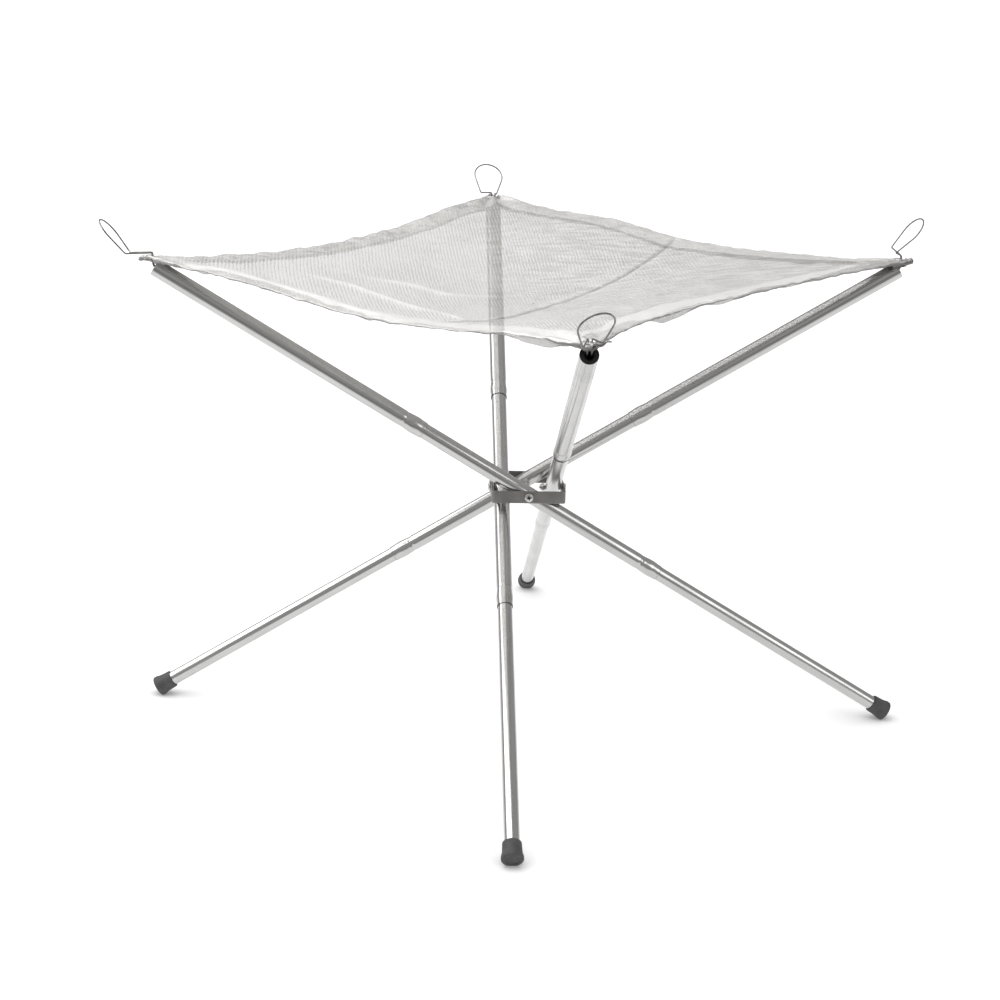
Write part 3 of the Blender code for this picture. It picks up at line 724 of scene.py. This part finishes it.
def clip_route(index):
    """The wire's corner points as (out, up, side) from the pole's top end, from one pin to the other."""
    pin = [(-PIN_DEPTH * math.cos(POLE_RISE), -PIN_DEPTH * math.sin(POLE_RISE)), (-0.3 * MM, -0.2 * MM),
           (EYELET_OUT - 0.3 * MM, 2.2 * MM), (EYELET_OUT, ABOVE_TIP - 1.5 * MM),
           (EYELET_OUT, ABOVE_TIP + 2.4 * MM)]
    near_pin, far_pin = ([(out, up, side * PIN_SPREAD) for out, up in pin] for side in (1, -1))
    centre = CLIP_LOOP_LENGTH - CLIP_LOOP_RADIUS
    start = math.acos(CLIP_LOOP_RADIUS / math.hypot(CLIP_BASE_SPREAD, centre))
    start += math.atan2(-centre, CLIP_BASE_SPREAD)
    loop = [(CLIP_BASE_SPREAD - 0.6 * MM, 0.0), (CLIP_BASE_SPREAD + 0.4 * MM, 1.4 * MM)]
    loop += arc((0.0, centre), CLIP_LOOP_RADIUS, math.degrees(start), 90, 24)
    near_half, far_half = ([place_on_clip(index, side * across, along) for across, along in loop]
                           for side in (1, -1))
    return near_pin + near_half + far_half[-2::-1] + far_pin[::-1]


def bend_rounded(points, radius, steps=6):
    """A route whose corners are turned into short arcs, as a wire is bent."""
    path = [Vector(points[0])]
    for before, here, after in zip(points, points[1:], points[2:]):
        before, here, after = Vector(before), Vector(here), Vector(after)
        back, on = before - here, after - here
        cut = min(radius, back.length * 0.45, on.length * 0.45)
        first = here + back.normalized() * cut
        last = here + on.normalized() * cut
        if back.angle(on) > math.radians(170):
            path.append(here)
            continue
        for i in range(steps + 1):
            share = i / steps
            path.append(first.lerp(here, share).lerp(here.lerp(last, share), share))
    path.append(Vector(points[-1]))
    return path


def wire_mesh(path, radius, sides=14):
    """A round wire swept along a path, without twist, with domed ends."""
    shape = bmesh.new()
    rows = []
    normal = (path[1] - path[0]).normalized().orthogonal().normalized()
    for before, point, after in zip(path[:1] + path, path, path[1:] + path[-1:]):
        direction = (after - before).normalized()
        normal = (normal - direction * normal.dot(direction)).normalized()
        side = direction.cross(normal)
        rows.append([shape.verts.new(point + radius * (x * normal + y * side)) for x, y in circle(1, sides)])
    for lower, upper in zip(rows, rows[1:]):
        join(shape, lower, upper)
    for row, point, inner in ((rows[0], path[0], path[1]), (rows[-1], path[-1], path[-2])):
        join(shape, row, [shape.verts.new(point + (point - inner).normalized() * radius * 0.5)])
    return closed_mesh(shape)


def add_clip(index, letter):
    """One bent wire: a pin, half the loop, the other half and the second pin."""
    route = [(-out, -side, up) for out, up, side in clip_route(index)]
    mesh = wire_mesh(bend_rounded(route, WIRE_BEND), WIRE_RADIUS)
    add_piece(f"clip_look_{letter}", mesh, WIRE_STEEL, f"clip_{letter}", f"pull_clip_{letter}",
              TIPS[index])


# -------- woven mesh

SIDE = CORNER_RADIUS * math.sqrt(2)
SHEET_TURN = math.atan2(POLE_OFFSET, UPPER_LENGTH * math.cos(POLE_RISE)) - math.radians(45)
CORNER_HEIGHT = POLES[0].translation.z + UPPER_LENGTH * math.sin(POLE_RISE) + ABOVE_TIP

# How far each edge hangs below its corners, in mm, at even steps from its first corner to its last.
FRONT_LEFT_DROPS = (0, 3, 8.5, 13.5, 10.5, 3.5, 0)
FRONT_RIGHT_DROPS = (0, -3, -3.2, 0, 0.3, 1, 0.6)
BACK_LEFT_DROPS = (0, 8.5, 14, 15, 12.5, 5, 0.6)
BACK_RIGHT_DROPS = (0.6, 4, 4, 10.5, 11, 7, 0.6)
BOW, FRONT_RIGHT_BOW = 8 * MM, 20 * MM
BOWL = 12 * MM

# Lines on the sheet as (s, t): s runs from the left corner to the front one, t from the left to the back.
# Each ridge has its height, and the first three get a painted highlight along them.
VALLEY = [(0.49, 0.985), (0.51, 0.92), (0.53, 0.83), (0.55, 0.74), (0.56, 0.65), (0.565, 0.57),
          (0.575, 0.48), (0.61, 0.37), (0.65, 0.28), (0.675, 0.19), (0.67, 0.12), (0.64, 0.045)]
VALLEY_DEPTH, VALLEY_REACH = 3.2 * MM, 24 * MM
CREASE_DEPTH, CREASE_WIDTH = 1.1 * MM, 1.6 * MM
RIDGES = [
    ([(0.05, 0.035), (0.2, 0.045), (0.37, 0.042), (0.5, 0.034), (0.65, 0.015)], 1.6 * MM),
    ([(0.2, 0.2), (0.3, 0.205), (0.435, 0.182), (0.52, 0.162), (0.63, 0.124), (0.7, 0.09)], 2.2 * MM),
    ([(0.25, 0.31), (0.35, 0.345), (0.41, 0.36), (0.45, 0.40), (0.49, 0.47)], 1.6 * MM),
    ([(0.12, 0.62), (0.28, 0.72), (0.42, 0.76)], 1.0 * MM),
    ([(0.72, 0.62), (0.80, 0.78), (0.93, 0.9)], 1.2 * MM),
]
HIGHLIGHTED_RIDGES = 3
RIDGE_WIDTH, RIDGE_REACH = 5 * MM, 14 * MM

SHEET_CORNERS = ((0, 0), (1, 0), (1, 1), (0, 1))
PLEAT_HEIGHT = 2.1 * MM
PLEAT_REACH = 105 * MM
PLEAT_START = 22 * MM
CRUMPLE_REACH = 40 * MM

# Where the front hems hang open: the share of the edge's length, the place's half width and the slope.
HANGING_RIGHT = [(0.33, 0.09, 0.38), (0.52, 0.06, 0.20), (0.72, 0.06, 0.16)]
HANGING_LEFT = [(0.10, 0.03, 0.16), (0.40, 0.03, 0.14), (0.53, 0.05, 0.15), (0.86, 0.075, 0.42)]


def smooth_list(values, share):
    """A smooth curve through evenly spaced values, at a share of its length."""
    share = np.clip(share, 0, 1) * (len(values) - 1)
    index = np.clip(np.floor(share).astype(int), 0, len(values) - 2)
    offset = share - index
    padded = np.array([2 * values[0] - values[1], *values, 2 * values[-1] - values[-2]])
    p0, p1, p2, p3 = (padded[index + k] for k in range(4))
    return 0.5 * (2 * p1 + (p2 - p0) * offset + (2 * p0 - 5 * p1 + 4 * p2 - p3) * offset ** 2
                  + (3 * p1 - p0 - 3 * p2 + p3) * offset ** 3)


def line_distance(s, t, line):
    """Distance in metres from a polyline on the flat sheet, and how far along it the nearest point is."""
    nearest, along = np.full(s.shape, np.inf), np.zeros(s.shape)
    lengths = [math.dist(a, b) for a, b in zip(line, line[1:])]
    start = 0.0
    for (s0, t0), (s1, t1), length in zip(line, line[1:], lengths):
        ds, dt = s1 - s0, t1 - t0
        share = np.clip(((s - s0) * ds + (t - t0) * dt) / (ds * ds + dt * dt), 0, 1)
        distance = np.hypot(s - s0 - share * ds, t - t0 - share * dt) * SIDE
        along = np.where(distance < nearest, (start + share * length) / sum(lengths), along)
        nearest = np.minimum(nearest, distance)
        start += length
    return nearest, along


def bell(offset, width):
    """1 where the offset is 0, falling away smoothly over the width."""
    return np.exp(-(offset / width) ** 2)


def end_fade(share, rate, least=0.0):
    """1 along the middle of a line, down to least at both of its ends."""
    return np.clip(np.minimum(share, 1 - share) * rate + least, 0, 1)


def waves(x, y, scale, seed, octaves):
    """Smooth seeded noise over the flat sheet, from about -1 to 1."""
    offset = Vector((seed * 17.3, seed * 5.1, seed * 2.7))
    heights = [noise.fractal(Vector((across * scale, along * scale, 0)) + offset, 0.8, 2.0, octaves)
               for across, along in zip(x.ravel(), y.ravel())]
    return np.array(heights).reshape(x.shape)


def fold_heights(s, t):
    """How far the valley and the ridges lift the sheet."""
    distance, share = line_distance(s, t, VALLEY)
    valley = VALLEY_DEPTH * np.exp(-distance / VALLEY_REACH) + CREASE_DEPTH * bell(distance, CREASE_WIDTH)
    lift = -end_fade(share, 6, least=0.25) * valley
    for line, rise in RIDGES:
        distance, share = line_distance(s, t, line)
        ridge = 0.75 * bell(distance, RIDGE_WIDTH) + 0.35 * np.exp(-distance / RIDGE_REACH)
        lift += rise * end_fade(share, 5) * ridge
    return lift


def corner_pleats(s, t):
    """Radial pleats where the sheet is gathered to its corners, in metres up."""
    lift = np.zeros(s.shape)
    for index, (corner_s, corner_t) in enumerate(SHEET_CORNERS):
        from_s, from_t = np.abs(s - corner_s) * SIDE, np.abs(t - corner_t) * SIDE
        radius = np.hypot(from_s, from_t)
        angle = np.arctan2(from_t, from_s)
        broad = np.sin(angle * (7.3 + index * 0.9) + index * 2.1)
        narrow = 0.5 * np.sin(angle * 15 + index * 4.0 + radius * 60)
        reach = np.clip(1 - radius / PLEAT_REACH, 0, 1) ** 1.6 * np.clip(radius / PLEAT_START, 0, 1)
        lift += (broad + narrow) * reach * PLEAT_HEIGHT
    return lift


def sheet_surface(s, t, folds=True):
    """World points of the hung sheet's middle surface at arrays of (s, t), with or without its folds."""
    bow_s, bow_t = np.sin(np.pi * np.clip(s, 0, 1)), np.sin(np.pi * np.clip(t, 0, 1))
    along = (s - 0.5) * SIDE + bow_t * (BOW * (1 - s) - FRONT_RIGHT_BOW * s)
    across = (t - 0.5) * SIDE + bow_s * (BOW * (1 - t) - BOW * t)
    corners = ((1 - s) * (1 - t) * FRONT_LEFT_DROPS[0] + s * (1 - t) * FRONT_RIGHT_DROPS[0]
               + s * t * FRONT_RIGHT_DROPS[-1] + (1 - s) * t * BACK_LEFT_DROPS[-1])
    drop = ((1 - t) * smooth_list(FRONT_LEFT_DROPS, s) + t * smooth_list(BACK_RIGHT_DROPS, s)
            + (1 - s) * smooth_list(BACK_LEFT_DROPS, t) + s * smooth_list(FRONT_RIGHT_DROPS, t) - corners)
    height = CORNER_HEIGHT - drop * MM - BOWL * (bow_s * bow_t) ** 1.5
    if folds:
        height = height + fold_heights(s, t) + corner_pleats(s, t)
    cos, sin = math.cos(SHEET_TURN), math.sin(SHEET_TURN)
    x = HUB_CENTRE.x + along * cos - across * sin
    y = HUB_CENTRE.y + along * sin + across * cos
    return np.stack([x, y, height], -1)


def surface_normals(s, t, points):
    """Upward unit normals of the hung sheet at its points."""
    step = 0.004
    normal = np.cross(sheet_surface(s + step, t) - points, sheet_surface(s, t + step) - points)
    normal /= np.linalg.norm(normal, axis=-1, keepdims=True)
    return normal * np.sign(normal[..., 2:3])


def hem_points():
    """Positions across the whole flat cut, each with where it lands on the sheet and its fold's turn."""
    flap_steps, bend_steps, middle_steps = 9, 6, 230
    flap = [-HEM + (HEM - HEM_BEND) * i / flap_steps for i in range(flap_steps + 1)]
    first = [(flat, -flat, math.pi) for flat in flap]
    for i in range(bend_steps + 1):
        angle = math.pi * (1 - i / bend_steps)
        flat = -HEM_BEND + HEM_BEND * (i + 0.5) / (bend_steps + 1)
        first.append((flat, HEM_FOLD - HEM_FOLD * math.sin(angle), angle))
    middle = [(SIDE * i / middle_steps, SIDE * i / middle_steps, 0.0) for i in range(1, middle_steps)]
    last = [(SIDE - flat, SIDE - on_sheet, angle) for flat, on_sheet, angle in reversed(first)]
    return first + middle + last


def near_corners(s, t):
    """1 at the sheet's corners, down to 0 around them."""
    distance = np.hypot(np.minimum(s, 1 - s), np.minimum(t, 1 - t)) * SIDE
    return np.clip(1 - distance / CRUMPLE_REACH, 0, 1)


def wrinkles(s, t, s_flat, t_flat):
    """Wrinkles all over, ripples along the edges and crumples at the corners, in metres up."""
    at_edges = bell(np.minimum(np.minimum(s, 1 - s), np.minimum(t, 1 - t)) * SIDE, 26 * MM)
    at_corners = near_corners(s, t)
    lift = np.zeros(s.shape)
    for seed, (scale, octaves, where, height) in enumerate((
            (34, 3, 1, 0.55 * MM), (120, 2, 1, 0.22 * MM),
            (75, 2, at_edges, 1.1 * MM), (190, 3, at_corners, 1.6 * MM)), start=1):
        lift += waves(s_flat, t_flat, scale, seed, octaves) * where * height
    return lift


def hem_depth(s, s_turn, t_turn):
    """How far each point lies under the sheet by its folds. The t hems wrap the s hems at the corners."""
    wrap = 1 + 1.3 * np.clip(1.6 - np.minimum(s, 1 - s) * SIDE / HEM, 0, 1)
    under_s = HEM_FOLD * (1 - np.cos(s_turn))
    under_t = HEM_FOLD * wrap * (1 - np.cos(t_turn))
    return under_t + np.where(t_turn > 0, under_s * np.cos(t_turn), under_s)


def hem_droop(s, t, s_flat, t_flat):
    """How far the hems hang open: a little all along, and more at its hanging places."""
    flap_s, flap_t = (np.clip(-flat, 0, None) + np.clip(flat - SIDE, 0, None) for flat in (s_flat, t_flat))
    droop = (flap_s ** 1.5 + flap_t ** 1.5) * 0.28 * (1.2 + waves(s_flat, t_flat, 40, 5, 2))
    for places, flap, run in ((HANGING_RIGHT, flap_s * (s > 0.5), t), (HANGING_LEFT, flap_t * (t < 0.5), s)):
        for place, width, slope in places:
            droop += flap * slope * bell(run - place, width)
    return droop * np.clip((0.5 - near_corners(s, t)) / 0.2, 0, 1)


def sheet_marks(s, t, s_turn, t_turn):
    """Where the cloth gets painted highlight and painted shade, where it is a hem and where its wires lie in
    rows.
    """
    distance, share = line_distance(s, t, VALLEY)
    # Painted shade along the valley's crease.
    crease_width = 2.1 * MM + 0.8 * MM * (share > 0.75)
    painted_shade_and_dirt = 0.95 * bell(distance, crease_width) * end_fade(share, 8, least=0.3)
    # A painted highlight runs beside the crease and along the first ridges.
    painted_highlight = 0.5 * bell(distance - 4.5 * MM, 2.5 * MM)
    for line, _ in RIDGES[:HIGHLIGHTED_RIDGES]:
        distance, share = line_distance(s, t, line)
        painted_highlight = np.maximum(painted_highlight, bell(distance, 3.2 * MM) * end_fade(share, 7))

    back_left, back_right = s * SIDE, (1 - t) * SIDE
    to_front = np.minimum(t * SIDE, (1 - s) * SIDE)
    front_hem = to_front < HEM * 1.02
    back_hem = np.minimum(back_left, back_right) < HEM * 1.02
    on_right = back_right < back_left
    # Painted highlight along the front hem and the back hems.
    painted_highlight = np.maximum(painted_highlight, 0.8 * front_hem)
    painted_highlight = np.maximum(painted_highlight, back_hem * np.where(on_right, 0.75 + 0.25 * s, 0.6))
    hem = back_hem * np.where(on_right, np.clip(0.9 - s, 0.1, 0.6), 1.0)
    hem = np.maximum(hem, 0.8 * (to_front < HEM_BEND))

    # Painted shade darkens the sheet to the back and right and the undersides of the right and front left
    # hems, which get no painted highlight.
    painted_shade_and_dirt = np.maximum(painted_shade_and_dirt, 0.28 * t * (0.4 + 0.6 * s) * (1 - 0.6 * (back_right < HEM)))
    folded = (s_turn > 1.3) | (t_turn > 1.3)
    painted_shade_and_dirt = np.maximum(painted_shade_and_dirt, folded * (0.8 * (s > 0.9) + 0.5 * ((t < 0.1) & (s <= 0.9))))
    painted_highlight = np.where(folded, 0, painted_highlight)
    rows = np.clip((s + t - 0.6) / 0.6, 0, 1) * (1 - front_hem) * (1 - back_hem)
    return {"painted_highlight": painted_highlight, "painted_shade_and_dirt": painted_shade_and_dirt, "hem": hem, "rows": rows}


def add_sheet(material):
    """The woven mesh in one cloth: hems folded under along all four sides, valley, ridges and pleats."""
    flat, land, turn = np.array(hem_points()).T
    (s, t), (s_turn, t_turn), (s_flat, t_flat) = (
        np.meshgrid(values, values, indexing="ij") for values in (land / SIDE, turn, flat))
    points = sheet_surface(s, t)
    lift = wrinkles(s, t, s_flat, t_flat) - hem_depth(s, s_turn, t_turn) - hem_droop(s, t, s_flat, t_flat)
    points += surface_normals(s, t, points) * lift[..., None]

    mesh = bpy.data.meshes.new("sheet")
    count = len(flat)
    faces = [(i * count + j, (i + 1) * count + j, (i + 1) * count + j + 1, i * count + j + 1)
             for i in range(count - 1) for j in range(count - 1)]
    mesh.from_pydata(points.reshape(-1, 3).tolist(), [], faces)
    corners = np.empty(len(mesh.loops), dtype=np.int64)
    mesh.loops.foreach_get("vertex_index", corners)
    uv = ((np.stack([s_flat, t_flat], -1) + HEM) / UV_METRES).reshape(-1, 2).astype(np.float32)
    mesh.uv_layers.new(name="flat").data.foreach_set("uv", uv[corners].ravel())
    for name, values in sheet_marks(s, t, s_turn, t_turn).items():
        marks = mesh.attributes.new(name, "FLOAT", "POINT")
        marks.data.foreach_set("value", values.ravel().astype(np.float32))
    sheet = add_piece("mesh_look", mesh, material, "fire_mesh", "fire_mesh", sharp=False)


def eyelet_place(index, letter):
    """The CAD eyelet's centre, tilted with the facet of the sheet at its corner."""
    low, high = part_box(f"eyelet_{letter}")
    s, t = SHEET_CORNERS[index]
    facet = 1 / 14
    around = ((s, t), (s + facet * (1 - 2 * s), t), (s, t + facet * (1 - 2 * t)))
    corner, next_s, next_t = (Vector(sheet_surface(np.array(a), np.array(b), folds=False)) for a, b in around)
    normal = (next_s - corner).cross(next_t - corner).normalized()
    if normal.z < 0:
        normal.negate()
    matrix = normal.to_track_quat("Z", "Y").to_matrix().to_4x4()
    matrix.translation = (Vector(low) + Vector(high)) / 2
    return matrix


def add_eyelet(index, letter):
    """Rolled metal ring clenched through the mesh, with a rounded lip above and below."""
    lip, outer = 0.62 * MM, 4.6 * MM
    outline = arc((outer, lip), lip, -60, 150, 8)
    outline += in_mm((3.55, 0.5), (3.4, 0), (3.55, -0.5))
    outline += arc((outer, -lip), lip, -150, 60, 8) + in_mm((4.1, -0.2), (4.1, 0.2))
    add_piece(f"eyelet_look_{letter}", turned(outline, SMALL_SIDES), FASTENER_STEEL, "fire_mesh",
              f"eyelet_{letter}", eyelet_place(index, letter))


# -------- studio

def add_softbox(name, place, target, size, power):
    """A rectangular light that faces its target and that the camera doesn't see."""
    light = bpy.data.lights.new(name, "AREA")
    light.shape = "RECTANGLE"
    light.size, light.size_y = size
    light.energy = power
    obj = new_object(name, light)
    obj.location = place
    obj.rotation_euler = (target - place).to_track_quat("-Z", "Y").to_euler()
    obj.visible_camera = False
    return obj


def add_floor():
    """A large pale floor that glows a little to the camera, more with distance, as a lit white sweep does."""
    half = 40.0
    mesh = bpy.data.meshes.new("floor")
    mesh.from_pydata([(half * x, half * y, 0) for x, y in ((-1, -1), (1, -1), (1, 1), (-1, 1))], [],
                     [(0, 1, 2, 3)])
    floor = new_object("floor", mesh)
    paint = Material("floor_paint", roughness=0.9, specular_ior_level=0.1, emission_color=(1, 1, 1, 1))
    tree = paint.tree
    length = add_node(tree, "VectorMath")
    length.operation = "LENGTH"
    feed(tree, length.inputs[0], add_node(tree, "TexCoord").outputs["Object"])
    away = paint.field(length, "Value").ramp(0.45, 1.6, 0.66, 1.0)
    rays = add_node(tree, "LightPath")
    seen, mirrored = paint.field(rays, "Is Camera Ray"), paint.field(rays, "Is Glossy Ray")
    front = paint.axis(1, "Y").ramp(-0.62, -0.32, 1.0, 0.0)
    paint.set(base_color=paint.colour(mirrored * front, (0.75, 0.75, 0.75), (0.2, 0.2, 0.2)))
    contact = add_node(tree, "AmbientOcclusion", Distance=30 * MM)
    contact.samples = 12
    clear = paint.field(contact, "AO").ramp(0.4, 0.95, 0.25, 1.0)
    # The feet shade the glow that the camera sees. The tubes mirror a bright floor, but a dark one in front.
    unseen = seen * -1.0 + 1.0
    glow = away * clear * seen + unseen * 0.2 + mirrored * 0.32 - mirrored * front * 0.42
    paint.set(emission_strength=glow)
    mesh.materials.append(paint.data)


def add_world():
    """Dim grey around the stand, and white where the camera looks past the floor."""
    world = bpy.data.worlds.new("studio")
    world.use_nodes = True
    bpy.context.scene.world = world
    tree = world.node_tree
    background = tree.nodes["Background"]
    background.inputs["Color"].default_value = (1, 1, 1, 1)
    seen = Field(tree, add_node(tree, "LightPath").outputs["Is Camera Ray"])
    feed(tree, background.inputs["Strength"], seen.ramp(0, 1, 0.37, 1.0))


def add_camera():
    """The main view's camera: a long lens, a little above the stand, looking slightly down."""
    yaw, pitch, roll = (math.degrees(angle) for angle in (-0.0487, -0.2962, 0.0267))
    place = Matrix.Translation((HUB_CENTRE.x - 0.1037, HUB_CENTRE.y - 1.6960, 0.6927))
    matrix = place @ rotation(yaw, "Z") @ rotation(90 + pitch, "X") @ rotation(roll, "Z")
    data = bpy.data.cameras.new("camera")
    data.lens = 80.87
    data.clip_start, data.clip_end = 0.05, 100.0
    bpy.context.scene.camera = new_object("camera", data, matrix)


def add_lights():
    """A broad softbox high at the left, brighter in the steel's reflections, and a small one at the right."""
    middle = HUB_CENTRE + Vector((0, 0, 50 * MM))
    key_place, key_size = middle + Vector((-1.555, 0.33, 2.49)), (3.7, 3.7)
    add_softbox("key", key_place, middle, key_size, 50).visible_glossy = False
    mirrored_place = key_place.lerp(middle, 0.03)
    add_softbox("mirrored_key", mirrored_place, middle, key_size, 110).visible_diffuse = False
    add_softbox("fill_front_right", middle + Vector((2.05, -1.72, 1.31)), middle, (1.7, 1.3), 10.5)


# -------- assembly

add_camera()
add_floor()
add_world()
add_lights()
bpy.context.scene.view_settings.view_transform = "Standard"

tube_steel = polished_steel()
add_hub(hub_steel())
for index, (letter, pole) in enumerate(zip(POLE_NAMES, POLES)):
    add_screw(letter, pole)
    add_washer(letter, pole)
    add_nut(letter, pole)
    add_tubes(letter, pole, tube_steel)
    add_foot(letter, pole)
    add_plug(letter, pole)
    add_eyelet(index, letter)
    add_clip(index, letter)
add_sheet(woven_steel())
